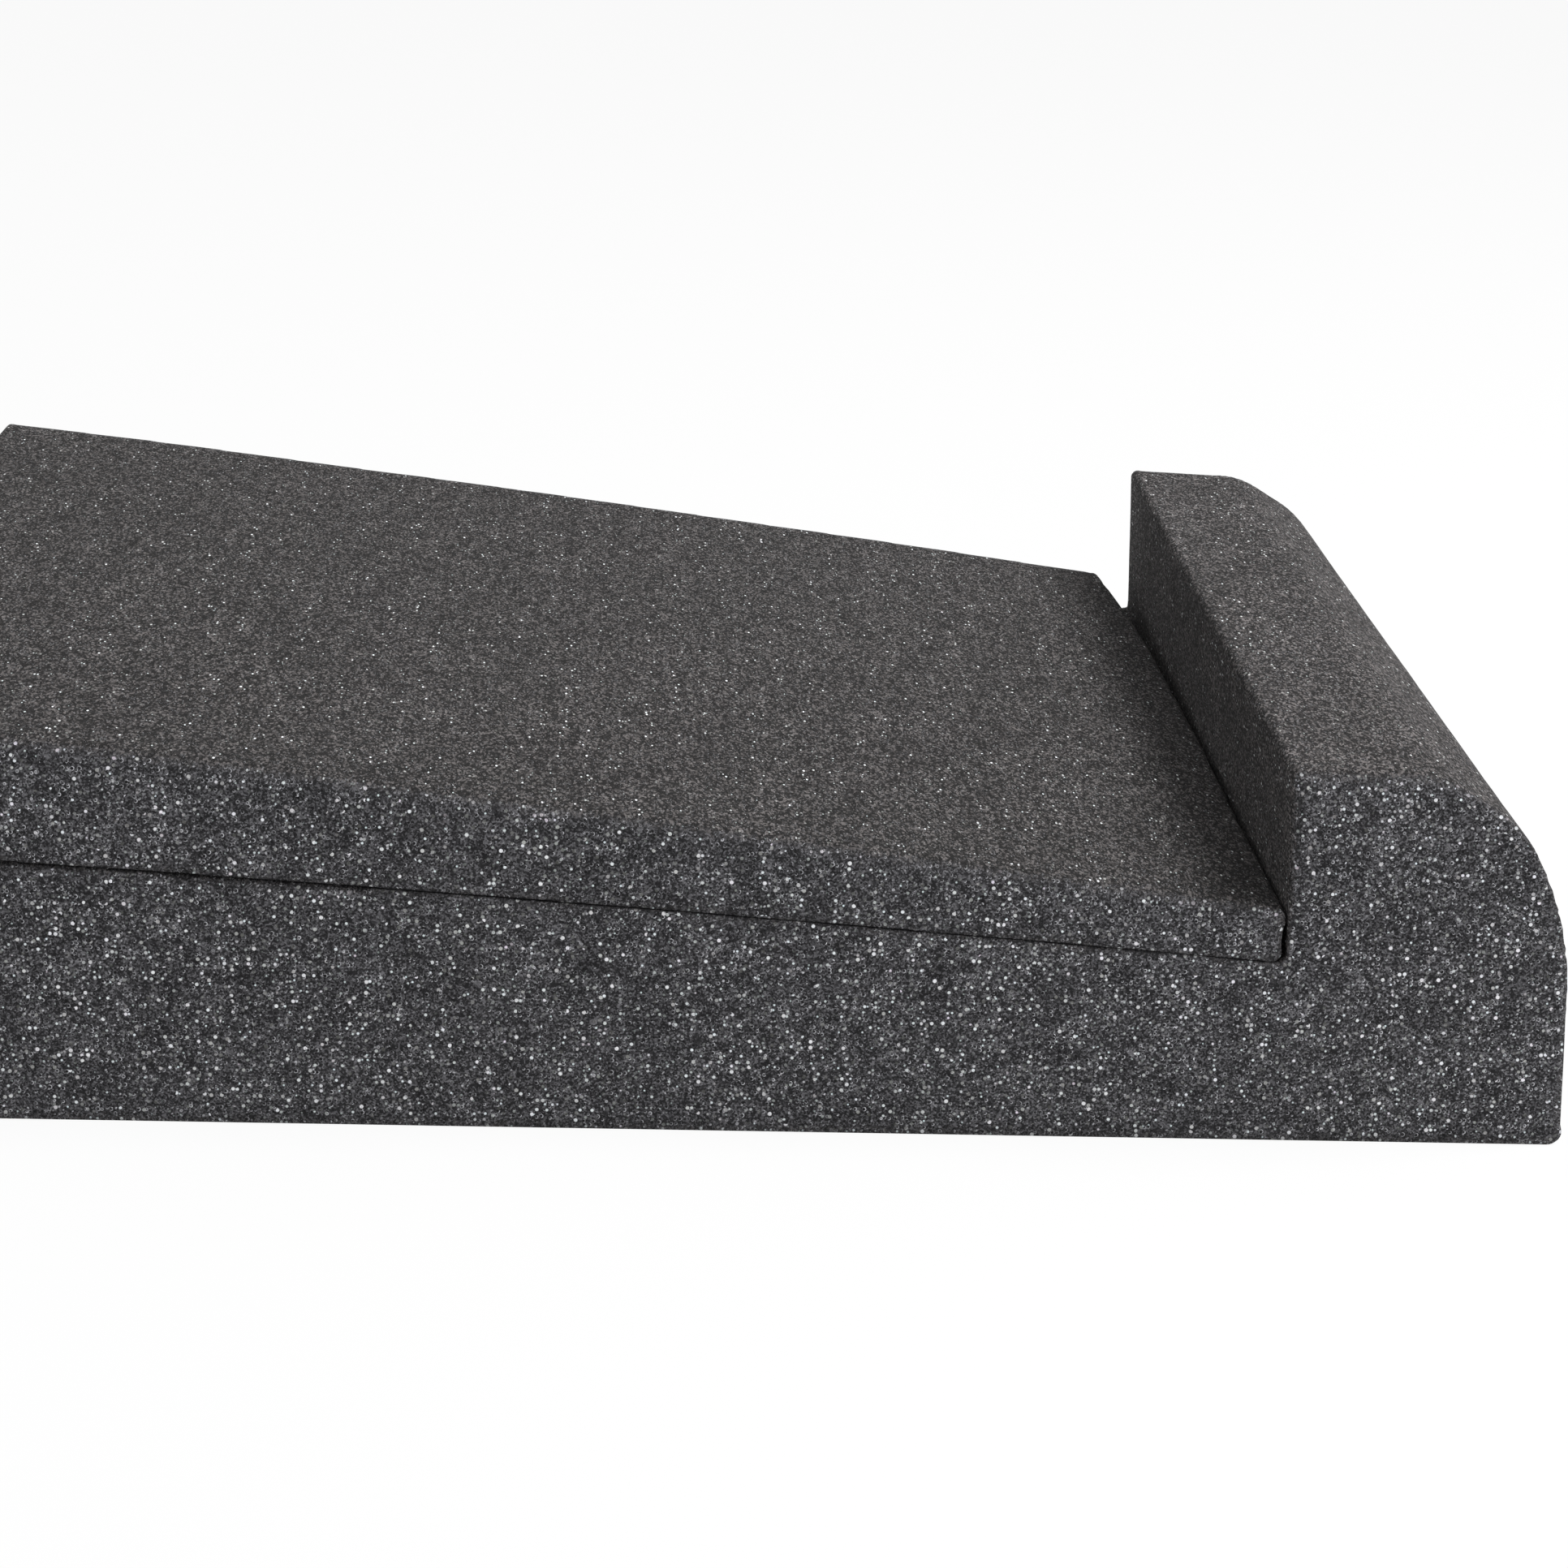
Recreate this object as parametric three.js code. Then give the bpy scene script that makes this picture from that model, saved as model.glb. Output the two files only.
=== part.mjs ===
// Isolation pad for a studio loudspeaker, cut from charcoal open-cell foam in two pieces.
// The base stands on the desk, slopes up towards the back and carries a raised stop across its
// front end. A loose wedge lies on the slope behind the stop, and the loudspeaker stands on it.
//
// Millimetres. +X points to the stop, +Y across the pad, +Z up. The origin is in the middle of
// the outline, on the surface that the pad stands on.

import * as THREE from "three";

// The whole pad
const PAD_LENGTH = 281;
const PAD_WIDTH = 220;
const SIDE_EDGE_ROUND = 1;

// The stop
const STOP_HEIGHT = 60;
const STOP_THICKNESS = 46;
const STOP_FLAT_TOP = 18.8;
const FRONT_FOOT_OUT = 1;
const SHOULDER_RADIUS = 14;
const SHOULDER_ANGLE = THREE.MathUtils.degToRad(31);
const NOSE_RADIUS = 20;
const NOSE_ANGLE = THREE.MathUtils.degToRad(60);
const FRONT_RADIUS = 49.5;
const STOP_EDGE_ROUND = 1.4;
const FOOT_ROUND = 1.2;

// The base behind the stop
const BASE_AT_STOP = 29.3;
const BASE_TILT = THREE.MathUtils.degToRad(3.54);
const UNDERSIDE_ROUND = 2.2;
const BACK_EDGE_ROUND = 1.6;

// The wedge
const WEDGE_THIN_END = 8.2;
const WEDGE_TAPER = THREE.MathUtils.degToRad(3.22);
const WEDGE_EDGE_ROUND = 1.5;
const SEAT_GAP = 0.3;
const END_GAP = 0.3;

// The wedge's thin end stands further back at the far side: a little all along, and more where
// the corner is blunted
const END_LEAN = 2.2;
const CORNER_BLUNT = 4;
const CORNER_POWER = 5;

// Fineness of the curves
const ARC_SEGMENTS = 4;
const SIDE_ROUND_SEGMENTS = 2;
const WEDGE_SLICES = 12;

const FOAM_COLOUR = 0x403f42;
const WEDGE_COLOUR = 0x464447;

const backFace = -PAD_LENGTH / 2;
const stopFace = PAD_LENGTH / 2 - STOP_THICKNESS;

// Height of the base's slope at a place along the pad.
function slopeHeight(x) {
  return BASE_AT_STOP + (stopFace - x) * Math.tan(BASE_TILT);
}

// Adds a corner, rounded by an arc between the lines that come from the point before and go to
// the point after. A hollow corner turns the other way and is rounded too.
function addRoundedCorner(outline, before, corner, after, radius) {
  const inward = before.clone().sub(corner).normalize();
  const onward = after.clone().sub(corner).normalize();
  const half = inward.angleTo(onward) / 2;
  const hollow = inward.cross(onward) > 0;
  const bisector = inward.clone().add(onward).normalize();
  const centre = corner.clone().addScaledVector(bisector, radius / Math.sin(half));
  const start = corner.clone().addScaledVector(inward, radius / Math.tan(half));
  const end = corner.clone().addScaledVector(onward, radius / Math.tan(half));
  if (outline.curves.length > 0) outline.lineTo(start.x, start.y);
  outline.absarc(
    centre.x,
    centre.y,
    radius,
    start.clone().sub(centre).angle(),
    end.clone().sub(centre).angle(),
    hollow
  );
}

// The stop's front, from the front face over the nose and up the slope to its flat top: three
// arcs that run into each other, and a straight stretch below the shoulder. The face stands a
// little further out at its foot than where the first arc starts.
function addStopFront(outline) {
  const noseTurn = Math.PI / 2 - NOSE_ANGLE;
  const slopeTurn = Math.PI / 2 - SHOULDER_ANGLE;
  const reach =
    FRONT_RADIUS -
    (FRONT_RADIUS - NOSE_RADIUS) * Math.cos(noseTurn) -
    (NOSE_RADIUS - SHOULDER_RADIUS) * Math.cos(slopeTurn);
  const room = STOP_THICKNESS - FRONT_FOOT_OUT - STOP_FLAT_TOP;
  const fit = Math.min(1, room / reach);
  const front = FRONT_RADIUS * fit;
  const nose = NOSE_RADIUS * fit;
  const shoulder = SHOULDER_RADIUS * fit;
  const straight = (room - reach * fit) / Math.sin(slopeTurn);

  const shoulderCentre = new THREE.Vector2(stopFace + STOP_FLAT_TOP, STOP_HEIGHT - shoulder);
  const slopeNormal = new THREE.Vector2(Math.cos(slopeTurn), Math.sin(slopeTurn));
  const slopeDown = new THREE.Vector2(Math.sin(slopeTurn), -Math.cos(slopeTurn));
  const noseNormal = new THREE.Vector2(Math.cos(noseTurn), Math.sin(noseTurn));
  const noseCentre = shoulderCentre
    .clone()
    .addScaledVector(slopeNormal, shoulder - nose)
    .addScaledVector(slopeDown, straight);
  const frontCentre = noseCentre.clone().addScaledVector(noseNormal, nose - front);

  outline.absarc(frontCentre.x, frontCentre.y, front, 0, noseTurn, false);
  outline.absarc(noseCentre.x, noseCentre.y, nose, noseTurn, slopeTurn, false);
  outline.absarc(shoulderCentre.x, shoulderCentre.y, shoulder, slopeTurn, Math.PI / 2, false);
}

// The base seen from the side, with height along the outline's Y.
function baseOutline() {
  const backFoot = new THREE.Vector2(backFace, 0);
  const frontFoot = new THREE.Vector2(stopFace + STOP_THICKNESS, 0);
  const frontUp = new THREE.Vector2(frontFoot.x, STOP_HEIGHT);
  const stopEdge = new THREE.Vector2(stopFace, STOP_HEIGHT);
  const stopFoot = new THREE.Vector2(stopFace, slopeHeight(stopFace));
  const backTop = new THREE.Vector2(backFace, slopeHeight(backFace));

  const outline = new THREE.Shape();
  addRoundedCorner(outline, backTop, backFoot, frontFoot, UNDERSIDE_ROUND);
  addRoundedCorner(outline, backFoot, frontFoot, frontUp, UNDERSIDE_ROUND);
  addStopFront(outline);
  addRoundedCorner(outline, frontUp, stopEdge, stopFoot, STOP_EDGE_ROUND);
  addRoundedCorner(outline, stopEdge, stopFoot, backTop, FOOT_ROUND);
  addRoundedCorner(outline, stopFoot, backTop, backFoot, BACK_EDGE_ROUND);
  outline.closePath();
  return outline;
}

// The wedge lies on the slope with its thin end square to its underside, so the end's upper edge
// comes nearest to the stop and a thin gap opens below it. The thick end's lower edge is in line
// with the back of the base.
const wedgeSeat = stopFace - END_GAP - WEDGE_THIN_END * Math.sin(BASE_TILT);
const wedgeLength = (wedgeSeat - backFace) / Math.cos(BASE_TILT);

// Thickness of the wedge at a place along it, counted back from its thin end.
function wedgeHeight(x) {
  return WEDGE_THIN_END - x * Math.tan(WEDGE_TAPER);
}

// The wedge seen from the side, lying flat, with the foot of its thin end on the outline's origin.
function wedgeOutline() {
  const thickFoot = new THREE.Vector2(-wedgeLength, 0);
  const thinFoot = new THREE.Vector2(0, 0);
  const thinTop = new THREE.Vector2(0, wedgeHeight(0));
  const thickTop = new THREE.Vector2(-wedgeLength, wedgeHeight(-wedgeLength));

  const outline = new THREE.Shape();
  addRoundedCorner(outline, thickTop, thickFoot, thinFoot, WEDGE_EDGE_ROUND);
  addRoundedCorner(outline, thickFoot, thinFoot, thinTop, WEDGE_EDGE_ROUND);
  addRoundedCorner(outline, thinFoot, thinTop, thickTop, WEDGE_EDGE_ROUND);
  addRoundedCorner(outline, thinTop, thickTop, thickFoot, WEDGE_EDGE_ROUND);
  outline.closePath();
  return outline;
}

// Carries a side outline across the pad, with its two side edges rounded. The result is centred
// on the width, from the near side at +Z to the far side at -Z of the outline's own frame.
function acrossPad(outline, slices) {
  const geometry = new THREE.ExtrudeGeometry(outline, {
    depth: PAD_WIDTH - 2 * SIDE_EDGE_ROUND,
    steps: slices,
    curveSegments: ARC_SEGMENTS,
    bevelEnabled: true,
    bevelThickness: SIDE_EDGE_ROUND,
    bevelSize: SIDE_EDGE_ROUND,
    bevelOffset: -SIDE_EDGE_ROUND,
    bevelSegments: SIDE_ROUND_SEGMENTS,
  });
  return geometry.translate(0, 0, SIDE_EDGE_ROUND - PAD_WIDTH / 2);
}

// Sets the upper edge of the wedge's thin end back towards the far side. Each point slides along
// the wedge, so the top stays one flat face and the underside keeps its place.
function leanThinEnd(geometry) {
  const position = geometry.attributes.position;
  const point = new THREE.Vector3();
  for (let i = 0; i < position.count; i += 1) {
    point.fromBufferAttribute(position, i);
    if (point.x < -wedgeLength / 2) continue;
    const across = 0.5 - point.z / PAD_WIDTH;
    const rise = point.y / wedgeHeight(point.x);
    const back = rise * (END_LEAN * across + CORNER_BLUNT * across ** CORNER_POWER);
    point.x -= back;
    point.y = rise * wedgeHeight(point.x);
    position.setXYZ(i, point.x, point.y, point.z);
  }
  geometry.computeVertexNormals();
  return geometry;
}

function foam(colour) {
  return new THREE.MeshStandardMaterial({ color: colour, roughness: 1, metalness: 0 });
}

const base = new THREE.Mesh(acrossPad(baseOutline(), 1), foam(FOAM_COLOUR));
base.name = "base_pad";
base.rotation.x = Math.PI / 2;

const wedge = new THREE.Mesh(
  leanThinEnd(acrossPad(wedgeOutline(), WEDGE_SLICES)),
  foam(WEDGE_COLOUR)
);
wedge.name = "wedge_pad";
wedge.rotation.x = Math.PI / 2;

const onSlope = new THREE.Group();
onSlope.add(wedge);
onSlope.rotation.y = BASE_TILT;
onSlope.position.set(wedgeSeat, 0, slopeHeight(wedgeSeat) + SEAT_GAP / Math.cos(BASE_TILT));

const pad = new THREE.Group();
pad.name = "isolation_pad";
pad.add(base, onSlope);

export default pad;
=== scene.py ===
import math

import bmesh
import bpy
from mathutils import Matrix, Vector, noise


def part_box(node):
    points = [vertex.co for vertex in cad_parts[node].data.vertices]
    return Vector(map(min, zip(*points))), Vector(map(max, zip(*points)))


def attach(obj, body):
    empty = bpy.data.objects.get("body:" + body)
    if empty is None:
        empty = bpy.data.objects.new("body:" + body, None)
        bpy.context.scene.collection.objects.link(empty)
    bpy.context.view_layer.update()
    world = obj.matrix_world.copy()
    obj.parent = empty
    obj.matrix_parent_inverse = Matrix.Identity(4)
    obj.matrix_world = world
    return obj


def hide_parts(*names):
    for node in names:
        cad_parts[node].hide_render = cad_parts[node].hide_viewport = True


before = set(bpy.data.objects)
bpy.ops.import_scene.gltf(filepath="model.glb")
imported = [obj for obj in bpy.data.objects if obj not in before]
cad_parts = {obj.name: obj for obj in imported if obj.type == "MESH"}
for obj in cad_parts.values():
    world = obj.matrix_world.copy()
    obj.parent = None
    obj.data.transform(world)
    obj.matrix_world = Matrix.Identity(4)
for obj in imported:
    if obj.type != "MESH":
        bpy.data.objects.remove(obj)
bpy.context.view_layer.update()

bl_info = {
    "name": "Speaker Isolation Pad",
    "version": (1, 0, 0),
    "blender": (4, 5, 0),
    "location": "View3D > Sidebar > Isolation Pad",
    "description": "Foam pad for a loudspeaker: a sloped base with a raised stop, and a loose wedge",
    "category": "Object",
}

MM = 0.001

# The box of the CAD model, before any piece is added
BASE_LOW, BASE_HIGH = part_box("base_pad")
PAD_WIDTH = BASE_HIGH.y - BASE_LOW.y
BACK_FACE = BASE_LOW.x

# The base's slope and its meeting with the stop, as in the part's source
STOP_FACE = 94.5 * MM
BASE_AT_STOP = 29.3 * MM
BASE_TILT = math.radians(3.54)
SEAM_MIDDLE = (BACK_FACE + STOP_FACE) / 2
SEAM_HALF = (STOP_FACE - BACK_FACE) / 2

# The wedge, as in the part's source
WEDGE_SEAT = 93.694 * MM
SEAT_GAP = 0.3 * MM
WEDGE_THIN_END = 8.2 * MM
WEDGE_TAPER = math.radians(3.22)
WEDGE_LENGTH = 234.64 * MM
END_LEAN = 2.2 * MM
CORNER_BLUNT = 4 * MM
CORNER_POWER = 5

# How far the foot of the thin end stands back at its far corner
FOOT_BACK = 3.4 * MM

# The stop's inner face runs on towards the front down to its foot. The wedge's thin end follows
# it, the upper edge more than the foot, and the wedge's underside settles on the slope.
FACE_LEAN = 0.9 * MM
FACE_DEPTH = 10 * MM
FOOT_REACH = 1.5 * MM
END_TOP_ON = 0.8 * MM
END_FOOT_ON = 0.5 * MM
END_RAGGED = 0.5 * MM
SEAT_SINK = 0.2 * MM

# The stop's top rises a little towards the far end of its inner edge
FAR_RISE = 0.9 * MM
FAR_RISE_REACH = 24 * MM

# Where the side outlines are taken from the CAD solids: beside the rounded near edge
SECTION_INSET = 1.13 * MM

# The two side faces are sawn and show open cells, and the rest is skived and closer. The mesh
# carries which is which, by how far a point faces sideways.
SIDE_CUT = "side_cut"
SIDE_CUT_FROM = 0.35
SIDE_CUT_TO = 0.97

# How far in from a side its softness reaches. On the base the softest edges lie above a height
# and behind the nose.
EDGE_REACH = 12 * MM
STOP_TOP_FROM = 38 * MM
NOSE_FROM = 122 * MM

# How far from the underside and from the wedge's thin end the open edges stay as they are
UNDERSIDE_HOLD = 2.5 * MM
CORNER_HOLD = 7 * MM
THIN_END_HOLD = 3 * MM

# The uncut foam in the far notch: its reach and its lean as shares of its depth, and its length
NOTCH_REACH = 2.2
NOTCH_LEAN = 0.1
NOTCH_LENGTH = 16 * MM

# Below the slope the inner face's lean dies out this many times as fast as above it
BELOW_FADE = 3

# The noise that makes the foam uneven and the thin end ragged: waves a metre, and its start
SWELL_WAVES = 25
SWELL_START = Vector((3.1, 0.4, 7.7))
RIPPLE_WAVES = 160
RIPPLE_START = Vector((9.2, 5.3, 1.6))
TORN_WAVES = 320
TORN_START = 0.3
TORN_POWER = 40

# The painted shade along the seam, standing for the shadow in the crease between base and wedge:
# size of its teeth and of its wavering, its least and greatest half width
SEAM_TEETH = 0.5 * MM
SEAM_WAVER = 7 * MM
SEAM_THIN = 0.25 * MM
SEAM_WIDE = 0.75 * MM
SEAM_SHADE_COLOUR = (0.006, 0.006, 0.007, 1)

# How far the corners move towards their neighbours in one round of smoothing
OPEN_EDGE = 0.5
SEAM_EDGE = 0.22
FAR_EDGE = 0.2


class FoamShape(bpy.types.PropertyGroup):
    """How the cut foam departs from the plain solids."""

    grid: bpy.props.FloatProperty(
        name="Grid", description="Spacing of the surface mesh",
        default=1.7 * MM, min=1 * MM, subtype="DISTANCE", unit="LENGTH")
    soft_rounds: bpy.props.IntProperty(
        name="Edge softness", description="Rounds of smoothing on the near top edges",
        default=5, min=0, max=12)
    corner_rounds: bpy.props.IntProperty(
        name="Thin end softness", description="Rounds of smoothing where the wedge meets the stop",
        default=2, min=0, max=12)
    seam_hold: bpy.props.FloatProperty(
        name="Crisp seam", description="Distance from the seam within which edges stay crisp",
        default=3 * MM, subtype="DISTANCE", unit="LENGTH")
    notch_fill: bpy.props.FloatProperty(
        name="Notch fill", description="Uncut foam left at the far end of the stop's foot",
        default=1.9 * MM, subtype="DISTANCE", unit="LENGTH")
    crown: bpy.props.FloatProperty(
        name="Crown", description="Rise of the seam and of the wedge's top at mid-length",
        default=0.9 * MM, subtype="DISTANCE", unit="LENGTH")
    swell: bpy.props.FloatProperty(
        name="Swell", description="Height of the slow unevenness",
        default=0.16 * MM, subtype="DISTANCE", unit="LENGTH")
    ripple: bpy.props.FloatProperty(
        name="Ripple", description="Height of the fine unevenness",
        default=0.04 * MM, subtype="DISTANCE", unit="LENGTH")


class FoamFinish(bpy.types.PropertyGroup):
    """Colours of the foam, of its painted highlights and painted shade, and the size of its cells.
    """

    # The sawn colour is cool and the skived colours warm: partly the foam's own tone, and partly
    # painted light, standing for warmer light on the tops and cooler light on the sides.
    side_colour: bpy.props.FloatVectorProperty(
        name="Sawn colour", description="Foam between the cell rims on the two side faces",
        default=(0.0575, 0.0565, 0.0605), min=0, max=1, subtype="COLOR")
    base_colour: bpy.props.FloatVectorProperty(
        name="Base colour", description="Foam on the skived faces of the base",
        default=(0.0410, 0.0376, 0.0372), min=0, max=1, subtype="COLOR")
    wedge_colour: bpy.props.FloatVectorProperty(
        name="Wedge colour", description="Foam on the skived faces of the wedge",
        default=(0.0345, 0.0318, 0.0314), min=0, max=1, subtype="COLOR")
    # The lit rims are painted highlights on the cells' walls
    rim: bpy.props.FloatVectorProperty(
        name="Cell rims", description="Colour of the lit rims of the cells",
        default=(0.70, 0.70, 0.74), min=0, max=1, subtype="COLOR")
    mottle: bpy.props.FloatProperty(
        name="Mottle size", description="Width of the lighter and darker patches",
        default=9 * MM, subtype="DISTANCE", unit="LENGTH")
    side_cell: bpy.props.FloatProperty(
        name="Sawn cells", description="Width of the open cells on the side faces",
        default=0.68 * MM, subtype="DISTANCE", unit="LENGTH")
    side_grain: bpy.props.FloatProperty(
        name="Sawn grain", description="Width of the finest specks on the side faces",
        default=0.26 * MM, subtype="DISTANCE", unit="LENGTH")
    # The glints are painted highlights: bright discs in the colour that stand for reflections of the
    # lamps
    side_glint: bpy.props.FloatProperty(
        name="Sawn glint size", description="Spacing of the shining cells on the side faces",
        default=0.86 * MM, subtype="DISTANCE", unit="LENGTH")
    side_glints: bpy.props.FloatProperty(
        name="Sawn glints", description="How many of the side faces' glint places shine",
        default=0.55, min=0, max=1, subtype="FACTOR")
    skived_cell: bpy.props.FloatProperty(
        name="Skived cells", description="Width of the cells on the skived faces",
        default=0.5 * MM, subtype="DISTANCE", unit="LENGTH")
    skived_grain: bpy.props.FloatProperty(
        name="Skived grain", description="Width of the finest specks on the skived faces",
        default=0.3 * MM, subtype="DISTANCE", unit="LENGTH")
    # The skived faces' glints are painted highlights too
    skived_glint: bpy.props.FloatProperty(
        name="Skived glint size", description="Spacing of the shining cells on the skived faces",
        default=0.55 * MM, subtype="DISTANCE", unit="LENGTH")
    skived_glints: bpy.props.FloatProperty(
        name="Skived glints", description="How many of the skived faces' glint places shine",
        default=0.14, min=0, max=1, subtype="FACTOR")
    skived_contrast: bpy.props.FloatProperty(
        name="Skived contrast", description="How strong the grain of the skived faces is",
        default=1.4, min=0.5, max=3)
    skived_pull: bpy.props.FloatProperty(
        name="Skived pull", description="How much longer the skived cells are across the pad",
        default=2.2, min=1, max=4)
    # Darkness of the painted shade along the seam, where the crease lies in shadow
    seam_shade_depth: bpy.props.FloatProperty(
        name="Seam shade", description="How dark the pinched foam along the seam is",
        default=0.8, min=0, max=1, subtype="FACTOR")


class StudioStage(bpy.types.PropertyGroup):
    """Floor, lamps and camera."""

    floor_size: bpy.props.FloatProperty(
        name="Floor", description="Width of the pale floor",
        default=8, subtype="DISTANCE", unit="LENGTH")
    ambient: bpy.props.FloatProperty(
        name="Ambient", description="Strength of the even light from all round", default=0.5)
    key_power: bpy.props.FloatProperty(
        name="Key light", description="Power of the large lamp above the stop",
        default=22, subtype="POWER", unit="POWER")
    key_size: bpy.props.FloatProperty(
        name="Key size", description="Width of the large lamp",
        default=0.8, subtype="DISTANCE", unit="LENGTH")
    key_place: bpy.props.FloatVectorProperty(
        name="Key place", description="Where the large lamp hangs",
        default=(0.88, -0.15, 1.15), subtype="TRANSLATION", unit="LENGTH")
    lens: bpy.props.FloatProperty(
        name="Lens", description="Focal length on a 36 mm sensor", default=85.714)
    camera_place: bpy.props.FloatVectorProperty(
        name="Camera place", description="Where the camera stands",
        default=(-0.00128, -0.65378, 0.21938), subtype="TRANSLATION", unit="LENGTH")
    yaw: bpy.props.FloatProperty(
        name="Yaw", description="Turn of the camera towards the stop",
        default=math.radians(1.884), subtype="ANGLE", unit="ROTATION")
    pitch: bpy.props.FloatProperty(
        name="Pitch", description="Downward tilt of the camera",
        default=math.radians(16.640), subtype="ANGLE", unit="ROTATION")
    roll: bpy.props.FloatProperty(
        name="Roll", description="Sideways tilt of the camera",
        default=math.radians(1.678), subtype="ANGLE", unit="ROTATION")


def side_outline(node_name):
    """A mesh of one face: the CAD solid's outline seen from the side, on its near face."""
    bm = bmesh.new()
    bm.from_mesh(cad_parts[node_name].data)
    bmesh.ops.remove_doubles(bm, verts=bm.verts, dist=0.001 * MM)
    cut = bmesh.ops.bisect_plane(
        bm,
        geom=bm.verts[:] + bm.edges[:] + bm.faces[:],
        dist=0.0001 * MM,
        plane_co=(0, SECTION_INSET - PAD_WIDTH / 2, 0),
        plane_no=(0, 1, 0),
    )["geom_cut"]
    kept = {edge for edge in cut if isinstance(edge, bmesh.types.BMEdge)}
    bmesh.ops.delete(bm, geom=[edge for edge in bm.edges if edge not in kept], context="EDGES")
    bmesh.ops.dissolve_limit(
        bm, angle_limit=math.radians(0.5), verts=bm.verts[:], edges=bm.edges[:])
    bmesh.ops.edgeloop_fill(bm, edges=bm.edges[:])
    bmesh.ops.translate(bm, vec=(0, -SECTION_INSET, 0), verts=bm.verts[:])
    if len(bm.faces) != 1:
        raise RuntimeError(f"{node_name} gave {len(bm.faces)} outlines instead of one")
    return bm


def cut_evenly(bm, axis, step):
    """Cuts the whole mesh by parallel planes, so that no face is wider than the step."""
    places = [vert.co[axis] for vert in bm.verts]
    low, high = min(places), max(places)
    count = math.ceil((high - low) / step)
    normal = Vector((0, 0, 0))
    normal[axis] = 1
    for i in range(1, count):
        point = Vector((0, 0, 0))
        point[axis] = low + (high - low) * i / count
        bmesh.ops.bisect_plane(
            bm,
            geom=bm.verts[:] + bm.edges[:] + bm.faces[:],
            dist=0.01 * MM,
            plane_co=point,
            plane_no=normal,
        )


def gridded_block(node_name, step):
    """The solid with sharp side edges, cut into an even grid all round."""
    bm = side_outline(node_name)
    sides = bmesh.ops.extrude_face_region(bm, geom=bm.faces[:])["geom"]
    far = [vert for vert in sides if isinstance(vert, bmesh.types.BMVert)]
    bmesh.ops.translate(bm, vec=(0, PAD_WIDTH, 0), verts=far)
    bmesh.ops.recalc_face_normals(bm, faces=bm.faces[:])
    for axis in (2, 0, 1):
        cut_evenly(bm, axis, step)
    return bm


def slope_height(x):
    """Height of the base's slope."""
    return BASE_AT_STOP + (STOP_FACE - x) * math.tan(BASE_TILT)


def soften(bm, rounds, factor, free_at):
    """Rounds the edges of the cut foam, at the points that are free to move."""
    free = [vert for vert in bm.verts if free_at(vert.co)]
    for _ in range(rounds):
        bmesh.ops.smooth_vert(
            bm, verts=free, factor=factor, use_axis_x=True, use_axis_y=True, use_axis_z=True)


def fill_notch(bm, depth):
    """Leaves a little foam in the corner between stop and slope, at its far end."""
    foot = Vector((STOP_FACE, 0, slope_height(STOP_FACE)))
    reach = NOTCH_REACH * depth
    for vert in bm.verts:
        across = (vert.co.y - PAD_WIDTH / 2 + NOTCH_LENGTH) / NOTCH_LENGTH
        off_corner = math.hypot(vert.co.x - foot.x, vert.co.z - foot.z)
        if across > 0 and off_corner < reach:
            share = min(1, across) * (1 - off_corner / reach)
            vert.co.z += depth * share
            vert.co.x -= NOTCH_LEAN * depth * share


def shape_stop(bm):
    """Lets the stop's inner face run on towards the front down to its foot, and its top rise."""
    foot = slope_height(STOP_FACE)
    for vert in bm.verts:
        behind = vert.co.x - STOP_FACE
        height = (vert.co.z - foot) / (BASE_HIGH.z - foot)
        share = 1 - height if height > 0 else max(0, 1 + BELOW_FADE * height)
        near = 1 + behind / FOOT_REACH if behind < 0 else 1 - behind / FACE_DEPTH
        across = 0.5 + vert.co.y / PAD_WIDTH
        inner = 1 - max(0, behind) / FAR_RISE_REACH
        if behind > -0.01 * MM:
            vert.co.z += FAR_RISE * across * max(0, height) * max(0, inner)
        vert.co.x += FACE_LEAN * share * max(0, near)


def lift(x, crown):
    """How far the seam lies above the plain slope: most at mid-length, nothing at the ends."""
    share = 1 - ((x - SEAM_MIDDLE) / SEAM_HALF) ** 2
    return crown * max(0, share)


def roughen(bm, shape, weight):
    """Moves each point in or out by the foam's unevenness."""
    bm.normal_update()
    moves = []
    for vert in bm.verts:
        slow = noise.noise(vert.co * SWELL_WAVES + SWELL_START)
        fine = noise.noise(vert.co * RIPPLE_WAVES + RIPPLE_START)
        moves.append(vert.normal * (shape.swell * slow + shape.ripple * fine) * weight(vert))
    for vert, move in zip(bm.verts, moves):
        vert.co += move


def as_piece(bm, name, node_name, material):
    """Turns the mesh into a foam piece that stands for its CAD solid."""
    bmesh.ops.recalc_face_normals(bm, faces=bm.faces[:])
    bm.normal_update()
    side = bm.verts.layers.float.new(SIDE_CUT)
    for vert in bm.verts:
        turned = (abs(vert.normal.y) - SIDE_CUT_FROM) / (SIDE_CUT_TO - SIDE_CUT_FROM)
        vert[side] = max(0, min(1, turned))
    mesh = bpy.data.meshes.new(name)
    bm.to_mesh(mesh)
    bm.free()
    for polygon in mesh.polygons:
        polygon.use_smooth = True
    mesh.materials.append(material)
    piece = bpy.data.objects.new(name, mesh)
    bpy.context.scene.collection.objects.link(piece)
    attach(piece, "root")
    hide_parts(node_name)
    return piece


def wired(tree, kind, inputs=(), **settings):
    """Adds a node, sets it up, and joins or sets its inputs."""
    node = tree.nodes.new(kind)
    for key, value in settings.items():
        setattr(node, key, value)
    for key, value in inputs:
        if isinstance(value, bpy.types.NodeSocket):
            tree.links.new(value, node.inputs[key])
        else:
            node.inputs[key].default_value = value
    return node


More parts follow.
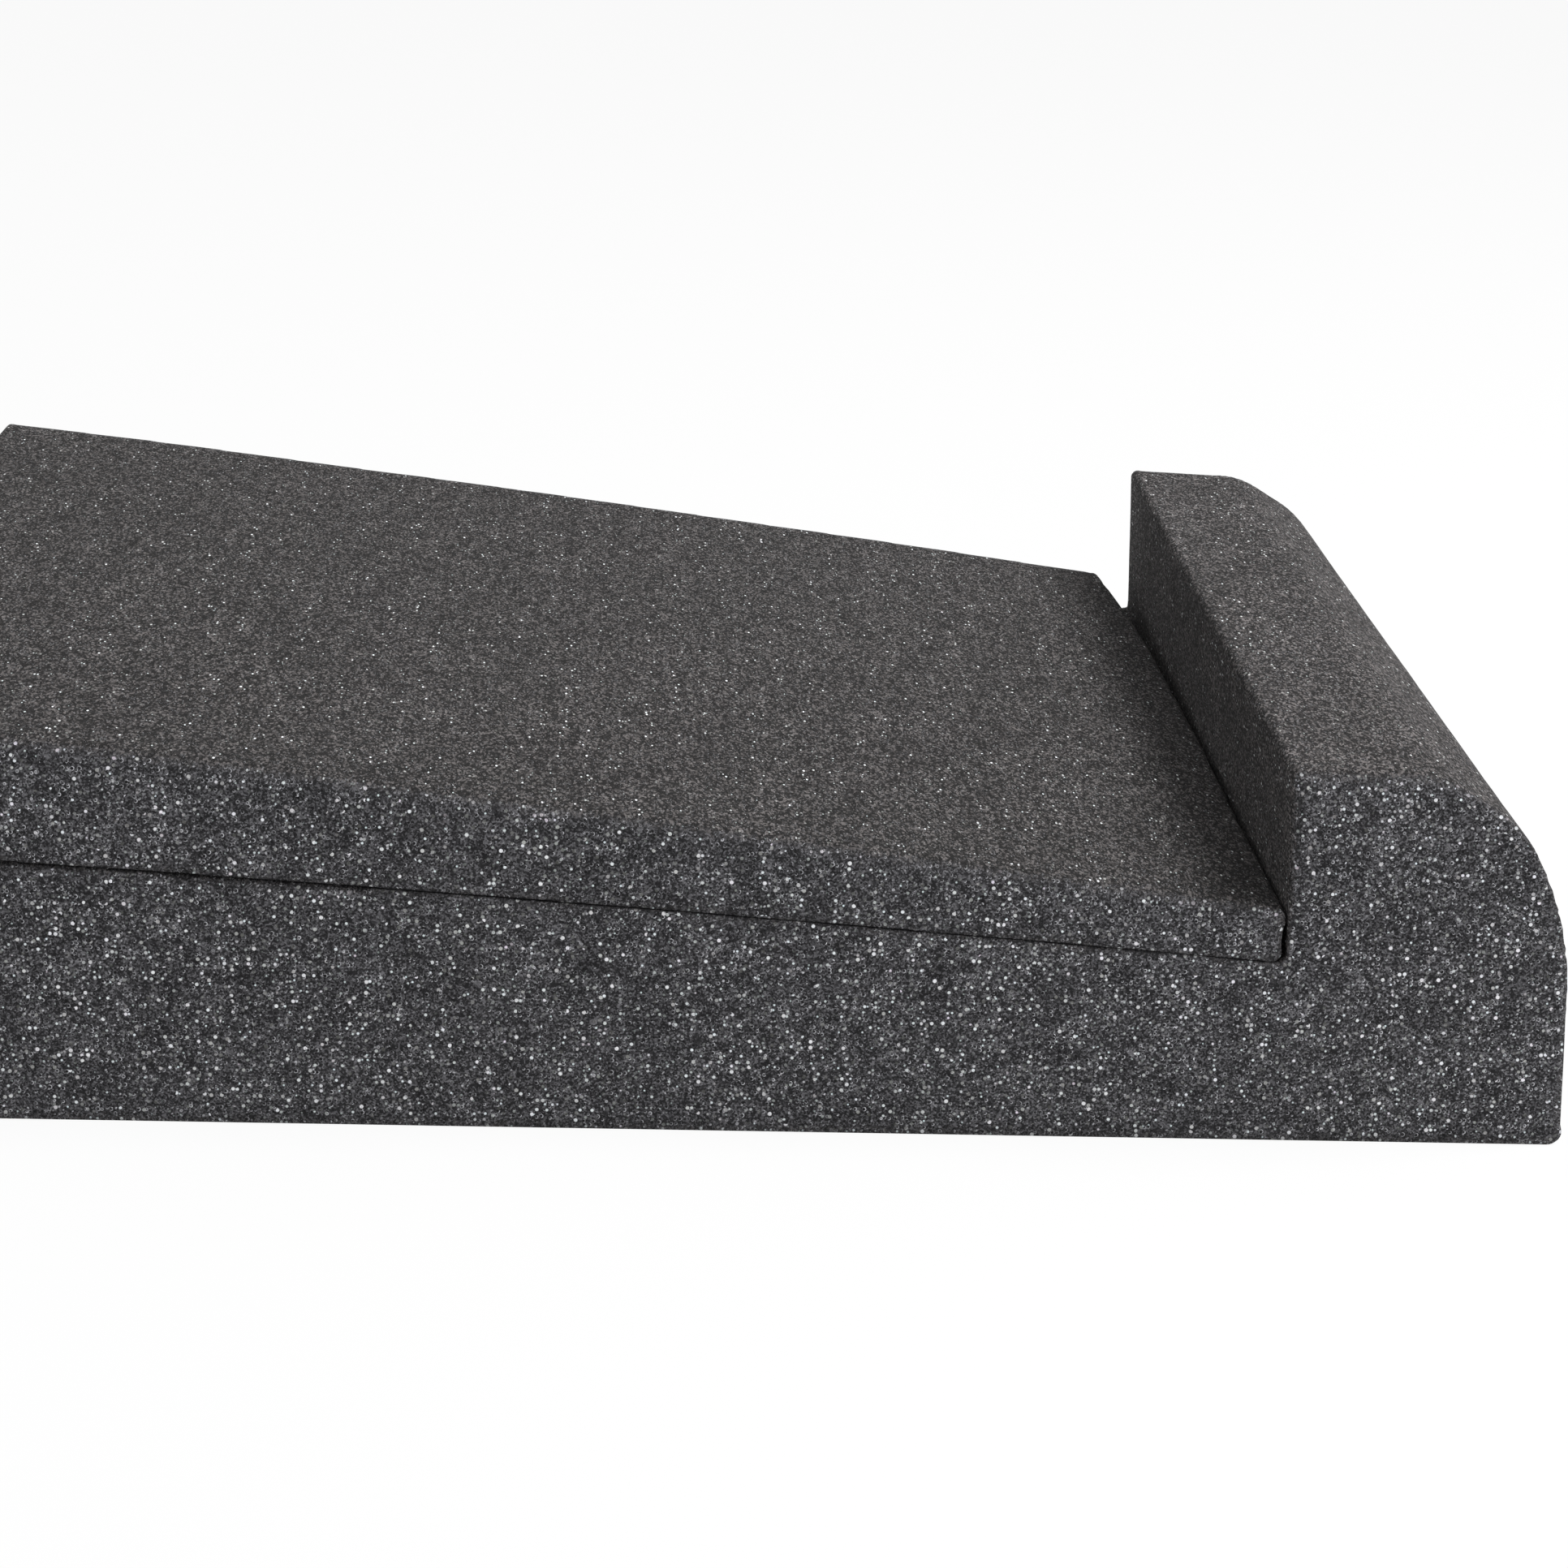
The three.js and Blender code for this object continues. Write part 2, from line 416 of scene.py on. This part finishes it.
def math_node(tree, operation, a, b=0.0, clamp=False):
    """The result of one sum on two values."""
    node = wired(tree, "ShaderNodeMath", ((0, a), (1, b)), operation=operation, use_clamp=clamp)
    return node.outputs[0]


def remap(tree, value, low, high, to_low=0.0, to_high=1.0):
    """A value carried smoothly from one range to another."""
    node = wired(
        tree, "ShaderNodeMapRange",
        (("Value", value), ("From Min", low), ("From Max", high),
         ("To Min", to_low), ("To Max", to_high)),
        interpolation_type="SMOOTHSTEP")
    return node.outputs["Result"]


def noise_node(tree, place, size):
    """Soft noise with patches of a size."""
    scale = math_node(tree, "DIVIDE", 1.0, size)
    node = wired(
        tree, "ShaderNodeTexNoise", (("Vector", place), ("Scale", scale), ("Detail", 2.0)))
    return node.outputs["Fac"]


def vector_math(tree, operation, a, b=(0, 0, 0)):
    """The result of one sum on two vectors: a value for a dot product, or else a vector."""
    node = wired(tree, "ShaderNodeVectorMath", ((0, a), (1, b)), operation=operation)
    return node.outputs["Value" if operation == "DOT_PRODUCT" else "Vector"]


def voronoi(tree, place, size):
    """Random cells of a size: their outputs, and each cell's own colour as three values."""
    scale = math_node(tree, "DIVIDE", 1.0, size)
    cells = wired(
        tree, "ShaderNodeTexVoronoi", (("Vector", place), ("Scale", scale)),
        voronoi_dimensions="3D", feature="F1").outputs
    own = wired(tree, "ShaderNodeSeparateColor", (("Color", cells["Color"]),)).outputs
    return cells, own


def mixed(tree, factor, a, b):
    """Two colours blended."""
    node = tree.nodes.new("ShaderNodeMix")
    node.data_type = "RGBA"
    for key, value in ((0, factor), (6, a), (7, b)):
        if isinstance(value, bpy.types.NodeSocket):
            tree.links.new(value, node.inputs[key])
        else:
            node.inputs[key].default_value = value
    return node.outputs[2]


def foam_cells():
    """The node group that draws open-cell foam: grain, cells with painted shade in their pores and
    painted highlights on their half-lit rims, and glints painted as highlights.
    """
    tree = bpy.data.node_groups.new("Open Foam Cells", "ShaderNodeTree")
    faces = tree.interface
    faces.new_socket(name="Place", in_out="INPUT", socket_type="NodeSocketVector")
    faces.new_socket(name="Ground", in_out="INPUT", socket_type="NodeSocketColor")
    faces.new_socket(name="Rim", in_out="INPUT", socket_type="NodeSocketColor")
    for name in (
            "Cell Size", "Grain Size", "Grain Contrast", "Glint Size", "Mottle Size",
            "Glints", "Depth"):
        faces.new_socket(name=name, in_out="INPUT", socket_type="NodeSocketFloat")
    faces.new_socket(name="Color", in_out="OUTPUT", socket_type="NodeSocketColor")
    faces.new_socket(name="Roughness", in_out="OUTPUT", socket_type="NodeSocketFloat")
    faces.new_socket(name="Height", in_out="OUTPUT", socket_type="NodeSocketFloat")
    given = tree.nodes.new("NodeGroupInput").outputs
    place = given["Place"]

    # Ground: broad patches, clumps a few cells wide and fine grain
    patch_noise = noise_node(tree, place, given["Mottle Size"])
    patches = remap(tree, patch_noise, 0.3, 0.7, 0.88, 1.12)
    clump_size = math_node(tree, "MULTIPLY", given["Cell Size"], 4.0)
    clumps = remap(tree, noise_node(tree, place, clump_size), 0.3, 0.7, 0.80, 1.20)
    _, grain_own = voronoi(tree, place, given["Grain Size"])
    grain = math_node(tree, "POWER", grain_own["Red"], 2.2)
    grain = remap(tree, grain, 0.0, 1.0, 0.36, 2.60)
    grain = math_node(tree, "POWER", grain, given["Grain Contrast"])
    shade = math_node(tree, "MULTIPLY", patches, clumps)
    shade = math_node(tree, "MULTIPLY", shade, grain)

    # Cells: a dark pore inside a rim. The pore's darkness is painted shade in the hollow of the
    # cell, and the rim's light is a painted highlight. Each rim is as wide and as bright as chance
    # makes it, and is lit on one side, more often below than above, as by light from above.
    cells, own = voronoi(tree, place, given["Cell Size"])
    radius = remap(tree, own["Blue"], 0.0, 1.0, 0.24, 0.46)
    inside = math_node(tree, "SUBTRACT", radius, cells["Distance"])
    pore = remap(tree, inside, 0.0, 0.16, 1.0, 0.55)
    rim = remap(tree, math_node(tree, "ABSOLUTE", inside), 0.0, 0.15, 1.0, 0.0)
    outward = vector_math(tree, "SUBTRACT", place, cells["Position"])
    outward = vector_math(tree, "NORMALIZE", outward)
    lit_side = vector_math(tree, "SUBTRACT", cells["Color"], (0.5, 0.5, 0.8))
    lit_side = vector_math(tree, "NORMALIZE", lit_side)
    facing = vector_math(tree, "DOT_PRODUCT", outward, lit_side)
    crescent = remap(tree, facing, -0.5, 0.6, 0.1, 1.0)
    chance = math_node(tree, "POWER", own["Red"], 2.0)
    lit = math_node(tree, "MULTIPLY", rim, chance)
    lit = math_node(tree, "MULTIPLY", lit, crescent)
    lit = math_node(tree, "MULTIPLY", lit, given["Depth"])
    shade = math_node(tree, "MULTIPLY", shade, pore)
    pored = wired(
        tree, "ShaderNodeVectorMath", ((0, given["Ground"]), ("Scale", shade)),
        operation="SCALE").outputs[0]
    rimmed = mixed(tree, lit, pored, given["Rim"])

    # Glints are painted highlights: bright discs in the colour that stand for reflections of the
    # lamps.
    # They gather where the clumps are light, and some have a faint tint
    cluster = remap(tree, clumps, 0.88, 1.16, 0.30, 1.75)
    share = math_node(tree, "MULTIPLY", given["Glints"], cluster)
    shifted = vector_math(tree, "ADD", place, (0.31, 0.17, 0.23))
    shines, glint_own = voronoi(tree, shifted, given["Glint Size"])
    picked = math_node(
        tree, "GREATER_THAN", share, math_node(tree, "SUBTRACT", 1.0, glint_own["Green"]))
    edge = remap(tree, glint_own["Red"], 0.0, 1.0, 0.24, 0.42)
    disc = math_node(tree, "SUBTRACT", edge, shines["Distance"])
    disc = math_node(tree, "MULTIPLY", disc, 9.0, clamp=True)
    bright = math_node(tree, "POWER", glint_own["Blue"], 1.7)
    bright = remap(tree, bright, 0.0, 1.0, 0.06, 1.0)
    glint = math_node(tree, "MULTIPLY", math_node(tree, "MULTIPLY", picked, disc), bright)
    tint = mixed(tree, 0.14, (0.96, 0.98, 1.00, 1), shines["Color"])
    colour = mixed(tree, glint, rimmed, tint)

    height = math_node(
        tree, "ADD", math_node(tree, "MULTIPLY", rim, 0.5), math_node(tree, "MULTIPLY", pore, 0.5))
    smoothness = remap(tree, glint, 0.0, 1.0, 0.96, 0.45)
    result = tree.nodes.new("NodeGroupOutput")
    tree.links.new(colour, result.inputs["Color"])
    tree.links.new(smoothness, result.inputs["Roughness"])
    tree.links.new(height, result.inputs["Height"])
    return tree


def seam_shade():
    """The node group that paints shade along the seam, standing for the shadow in the crease between
    base and wedge, with ragged edges.
    """
    tree = bpy.data.node_groups.new("Seam Shade", "ShaderNodeTree")
    faces = tree.interface
    faces.new_socket(name="Place", in_out="INPUT", socket_type="NodeSocketVector")
    faces.new_socket(name="Crown", in_out="INPUT", socket_type="NodeSocketFloat")
    faces.new_socket(name="Mask", in_out="OUTPUT", socket_type="NodeSocketFloat")
    given = tree.nodes.new("NodeGroupInput").outputs
    place = given["Place"]
    axes = wired(tree, "ShaderNodeSeparateXYZ", (("Vector", place),)).outputs

    before_stop = math_node(tree, "SUBTRACT", STOP_FACE, axes["X"])
    climb = math_node(tree, "MULTIPLY", before_stop, math.tan(BASE_TILT))
    along = math_node(tree, "DIVIDE", math_node(tree, "SUBTRACT", axes["X"], SEAM_MIDDLE), SEAM_HALF)
    share = math_node(tree, "SUBTRACT", 1.0, math_node(tree, "MULTIPLY", along, along))
    crowned = math_node(tree, "MULTIPLY", share, given["Crown"])
    above = math_node(tree, "SUBTRACT", axes["Z"], BASE_AT_STOP)
    above = math_node(tree, "SUBTRACT", above, math_node(tree, "ADD", climb, crowned))

    _, ragged = voronoi(tree, place, SEAM_TEETH)
    width = remap(tree, ragged["Red"], 0.0, 1.0, SEAM_THIN, SEAM_WIDE)
    off = math_node(tree, "DIVIDE", math_node(tree, "ABSOLUTE", above), width)
    line = remap(tree, off, 0.1, 1.0, 1.0, 0.0)
    waver = remap(tree, noise_node(tree, place, SEAM_WAVER), 0.35, 0.65, 0.5, 1.0)
    behind = math_node(tree, "GREATER_THAN", before_stop, 0.0)
    mask = math_node(tree, "MULTIPLY", math_node(tree, "MULTIPLY", line, waver), behind)
    tree.links.new(mask, tree.nodes.new("NodeGroupOutput").inputs["Mask"])
    return tree


def foam_material(name, skived_colour, finish, crown):
    """Charcoal open-cell foam: coarse on the sawn sides, closer on the skived faces."""
    cells = bpy.data.node_groups.get("Open Foam Cells") or foam_cells()
    shade = bpy.data.node_groups.get("Seam Shade") or seam_shade()
    material = bpy.data.materials.new(name)
    material.use_nodes = True
    tree = material.node_tree
    surface = tree.nodes["Principled BSDF"]
    place = tree.nodes.new("ShaderNodeTexCoord").outputs["Object"]
    pulled = vector_math(tree, "MULTIPLY", place, (1, 1 / finish.skived_pull, 1))

    def cut_face(where, colour, cell, grain, contrast, glint, glints, depth):
        foam = tree.nodes.new("ShaderNodeGroup")
        foam.node_tree = cells
        tree.links.new(where, foam.inputs["Place"])
        foam.inputs["Ground"].default_value = (*colour, 1)
        foam.inputs["Rim"].default_value = (*finish.rim, 1)
        foam.inputs["Cell Size"].default_value = cell
        foam.inputs["Grain Size"].default_value = grain
        foam.inputs["Grain Contrast"].default_value = contrast
        foam.inputs["Glint Size"].default_value = glint
        foam.inputs["Mottle Size"].default_value = finish.mottle
        foam.inputs["Glints"].default_value = glints
        foam.inputs["Depth"].default_value = depth
        return foam.outputs

    skived = cut_face(
        pulled, skived_colour, finish.skived_cell, finish.skived_grain,
        finish.skived_contrast, finish.skived_glint, finish.skived_glints, 0.3)
    sawn = cut_face(
        place, finish.side_colour, finish.side_cell, finish.side_grain,
        1.0, finish.side_glint, finish.side_glints, 1.0)
    which = wired(tree, "ShaderNodeAttribute", attribute_name=SIDE_CUT).outputs["Fac"]
    colour = mixed(tree, which, skived["Color"], sawn["Color"])
    # Painted shade: the colour darkens along the seam, standing for the shadow in the crease between
    # base and wedge
    seam = tree.nodes.new("ShaderNodeGroup")
    seam.node_tree = shade
    tree.links.new(place, seam.inputs["Place"])
    seam.inputs["Crown"].default_value = crown
    shaded = math_node(tree, "MULTIPLY", seam.outputs["Mask"], finish.seam_shade_depth)
    colour = mixed(tree, shaded, colour, SEAM_SHADE_COLOUR)

    def either(key):
        node = wired(
            tree, "ShaderNodeMix", (("Factor", which), ("A", skived[key]), ("B", sawn[key])))
        return node.outputs["Result"]

    bump = wired(
        tree, "ShaderNodeBump",
        (("Height", either("Height")), ("Strength", 0.5), ("Distance", 0.25 * MM)))
    tree.links.new(colour, surface.inputs["Base Color"])
    tree.links.new(either("Roughness"), surface.inputs["Roughness"])
    tree.links.new(bump.outputs["Normal"], surface.inputs["Normal"])
    surface.inputs["Specular IOR Level"].default_value = 0.2
    return material


class PAD_OT_base(bpy.types.Operator):
    """Make the base: the sloped block with the raised stop"""

    bl_idname = "isolation_pad.make_base"
    bl_label = "Make the Base"

    def execute(self, context):
        shape = context.scene.pad_shape
        finish = context.scene.pad_finish
        bm = gridded_block("base_pad", shape.grid)
        shape_stop(bm)

        def at_seam(point):
            near_seam = abs(point.z - slope_height(point.x)) < shape.seam_hold
            return point.x < STOP_FACE + shape.seam_hold and near_seam

        def off_seam(point):
            return not at_seam(point) and point.z > UNDERSIDE_HOLD

        def near_top(point):
            beside = point.y < EDGE_REACH - PAD_WIDTH / 2
            return point.z > STOP_TOP_FROM and point.x < NOSE_FROM and beside

        soften(bm, 1, SEAM_EDGE, at_seam)
        soften(bm, 1, OPEN_EDGE, lambda point: off_seam(point) and point.y < 0)
        soften(bm, 1, FAR_EDGE, lambda point: off_seam(point) and point.y >= 0)
        soften(bm, shape.soft_rounds - 1, OPEN_EDGE, near_top)
        fill_notch(bm, shape.notch_fill)
        for vert in bm.verts:
            if vert.co.x < STOP_FACE:
                rise = min(1, vert.co.z / slope_height(vert.co.x))
                vert.co.z += rise * lift(vert.co.x, shape.crown)

        def weight(vert):
            if vert.normal.z < -0.5 or vert.co.z < 0.05 * MM:
                return 0
            covered = vert.co.x < STOP_FACE and vert.normal.z > 0.9
            return 0 if covered else 1

        roughen(bm, shape, weight)
        material = foam_material("Base Foam", finish.base_colour, finish, shape.crown)
        as_piece(bm, "base_foam", "base_pad", material)
        return {"FINISHED"}


class PAD_OT_wedge(bpy.types.Operator):
    """Make the loose wedge that lies on the slope behind the stop"""

    bl_idname = "isolation_pad.make_wedge"
    bl_label = "Make the Wedge"

    def execute(self, context):
        shape = context.scene.pad_shape
        finish = context.scene.pad_finish
        bm = gridded_block("wedge_pad", shape.grid)
        seat = Vector((
            WEDGE_SEAT, 0, slope_height(WEDGE_SEAT) + SEAT_GAP / math.cos(BASE_TILT)))
        on_slope = Matrix.Translation(seat) @ Matrix.Rotation(BASE_TILT, 4, "Y")
        off_slope = on_slope.inverted()

        bmesh.ops.transform(bm, matrix=off_slope, verts=bm.verts[:])
        for vert in bm.verts:
            along = max(0, 1 + 2 * vert.co.x / WEDGE_LENGTH)
            across = 0.5 + vert.co.y / PAD_WIDTH
            rise = vert.co.z / (WEDGE_THIN_END - vert.co.x * math.tan(WEDGE_TAPER))
            blunt = across ** CORNER_POWER
            back = rise * (END_LEAN * across + CORNER_BLUNT * blunt)
            back += (1 - rise) * FOOT_BACK * blunt
            forward = END_FOOT_ON + rise * (END_TOP_ON - END_FOOT_ON)
            torn = noise.noise(
                Vector((TORN_START, vert.co.y * TORN_WAVES, vert.co.z * TORN_WAVES)))
            back += END_RAGGED * max(0, torn) * along ** TORN_POWER
            vert.co.x += along * (forward - back)
            height = WEDGE_THIN_END - vert.co.x * math.tan(WEDGE_TAPER)
            vert.co.z = rise * height - (1 - rise) * SEAT_SINK

        def off_seam(point):
            return point.z > shape.seam_hold and point.x < -THIN_END_HOLD

        def beside(point):
            return point.z > shape.seam_hold and point.y < EDGE_REACH - PAD_WIDTH / 2

        soften(bm, 1, SEAM_EDGE, lambda point: point.z <= shape.seam_hold)
        soften(bm, 1, OPEN_EDGE, lambda point: off_seam(point) and point.y < 0)
        soften(bm, 1, FAR_EDGE, lambda point: off_seam(point) and point.y >= 0)
        soften(
            bm, shape.soft_rounds - 1, OPEN_EDGE,
            lambda point: beside(point) and point.x < -CORNER_HOLD)

        def end_top(point):
            off_far_corner = point.y < PAD_WIDTH / 2 - EDGE_REACH
            return point.z > shape.seam_hold and point.x >= -CORNER_HOLD and off_far_corner

        soften(bm, shape.corner_rounds, OPEN_EDGE, end_top)
        bmesh.ops.transform(bm, matrix=on_slope, verts=bm.verts[:])
        for vert in bm.verts:
            vert.co.z += lift(vert.co.x, shape.crown)

        roughen(bm, shape, lambda vert: 0 if vert.normal.z < -0.5 else 1)
        material = foam_material("Wedge Foam", finish.wedge_colour, finish, shape.crown)
        as_piece(bm, "wedge_foam", "wedge_pad", material)
        return {"FINISHED"}


def floor_material():
    """White floor that keeps the pad's shadow and looks white to the camera."""
    material = bpy.data.materials.new("Studio Floor")
    material.use_nodes = True
    tree = material.node_tree
    tree.nodes.clear()
    matte = wired(tree, "ShaderNodeBsdfDiffuse", (("Color", (0.8, 0.8, 0.8, 1)),))
    glow = wired(tree, "ShaderNodeEmission", (("Color", (1, 1, 1, 1)), ("Strength", 1.0)))
    path = tree.nodes.new("ShaderNodeLightPath").outputs
    seen = math_node(tree, "ADD", path["Is Camera Ray"], path["Is Glossy Ray"])
    seen = math_node(tree, "ADD", seen, path["Is Transmission Ray"], clamp=True)
    share = math_node(tree, "MULTIPLY", seen, 0.90)
    mix = tree.nodes.new("ShaderNodeMixShader")
    tree.links.new(share, mix.inputs[0])
    tree.links.new(matte.outputs[0], mix.inputs[1])
    tree.links.new(glow.outputs[0], mix.inputs[2])
    output = tree.nodes.new("ShaderNodeOutputMaterial")
    tree.links.new(mix.outputs[0], output.inputs["Surface"])
    return material


def studio_world(ambient):
    """Even light from all round, white where the camera sees it."""
    world = bpy.data.worlds.new("Studio")
    world.use_nodes = True
    tree = world.node_tree
    light = tree.nodes["Background"]
    path = tree.nodes.new("ShaderNodeLightPath").outputs
    seen = math_node(tree, "ADD", path["Is Camera Ray"], path["Is Glossy Ray"])
    seen = math_node(tree, "ADD", seen, path["Is Transmission Ray"], clamp=True)
    strength = remap(tree, seen, 0.0, 1.0, ambient, 1.0)
    light.inputs["Color"].default_value = (1, 1, 1, 1)
    tree.links.new(strength, light.inputs["Strength"])
    return world


class PAD_OT_stage(bpy.types.Operator):
    """Set up the floor, the lamps and the camera"""

    bl_idname = "isolation_pad.make_stage"
    bl_label = "Set Up the Stage"

    def execute(self, context):
        scene = context.scene
        stage = scene.pad_stage
        bm = bmesh.new()
        bmesh.ops.create_grid(bm, x_segments=1, y_segments=1, size=stage.floor_size / 2)
        mesh = bpy.data.meshes.new("studio_floor")
        bm.to_mesh(mesh)
        bm.free()
        mesh.materials.append(floor_material())
        floor = bpy.data.objects.new("studio_floor", mesh)
        scene.collection.objects.link(floor)

        scene.world = studio_world(stage.ambient)
        lamp = bpy.data.lights.new("key_light", "AREA")
        lamp.shape = "DISK"
        lamp.size = stage.key_size
        lamp.energy = stage.key_power
        key = bpy.data.objects.new("key_light", lamp)
        key.location = stage.key_place
        key.rotation_euler = (-Vector(stage.key_place)).to_track_quat("-Z", "Y").to_euler()
        scene.collection.objects.link(key)

        forward = Vector((
            math.sin(stage.yaw) * math.cos(stage.pitch),
            math.cos(stage.yaw) * math.cos(stage.pitch),
            -math.sin(stage.pitch),
        ))
        level = Vector((math.cos(stage.yaw), -math.sin(stage.yaw), 0))
        upright = level.cross(forward)
        right = math.cos(stage.roll) * level + math.sin(stage.roll) * upright
        up = math.cos(stage.roll) * upright - math.sin(stage.roll) * level
        view = bpy.data.cameras.new("photo_camera")
        view.sensor_width = 36
        view.lens = stage.lens
        view.clip_start = 0.01
        camera = bpy.data.objects.new("photo_camera", view)
        turn = Matrix((right, up, -forward)).transposed()
        camera.matrix_world = Matrix.Translation(stage.camera_place) @ turn.to_4x4()
        scene.collection.objects.link(camera)
        scene.camera = camera
        scene.view_settings.view_transform = "Standard"
        return {"FINISHED"}


class PAD_PT_panel(bpy.types.Panel):
    """The pad's pieces and their values"""

    bl_idname = "PAD_PT_panel"
    bl_label = "Isolation Pad"
    bl_space_type = "VIEW_3D"
    bl_region_type = "UI"
    bl_category = "Isolation Pad"

    def draw(self, context):
        layout = self.layout
        for group_name in PROPERTY_GROUPS:
            group = getattr(context.scene, group_name)
            box = layout.box()
            for key in group.bl_rna.properties.keys():
                if key not in ("rna_type", "name"):
                    box.prop(group, key)
        for operator in OPERATORS:
            layout.operator(operator.bl_idname)


PROPERTY_GROUPS = {"pad_shape": FoamShape, "pad_finish": FoamFinish, "pad_stage": StudioStage}
OPERATORS = (PAD_OT_base, PAD_OT_wedge, PAD_OT_stage)


def register():
    """Makes the classes known to Blender."""
    for made in (*PROPERTY_GROUPS.values(), *OPERATORS, PAD_PT_panel):
        bpy.utils.register_class(made)
    for name, group in PROPERTY_GROUPS.items():
        setattr(bpy.types.Scene, name, bpy.props.PointerProperty(type=group))


def unregister():
    """Takes the classes out again."""
    for name in PROPERTY_GROUPS:
        delattr(bpy.types.Scene, name)
    for made in reversed((*PROPERTY_GROUPS.values(), *OPERATORS, PAD_PT_panel)):
        bpy.utils.unregister_class(made)


def main():
    """Builds the whole scene."""
    register()
    bpy.ops.isolation_pad.make_base()
    bpy.ops.isolation_pad.make_wedge()
    bpy.ops.isolation_pad.make_stage()


if __name__ == "__main__":
    main()
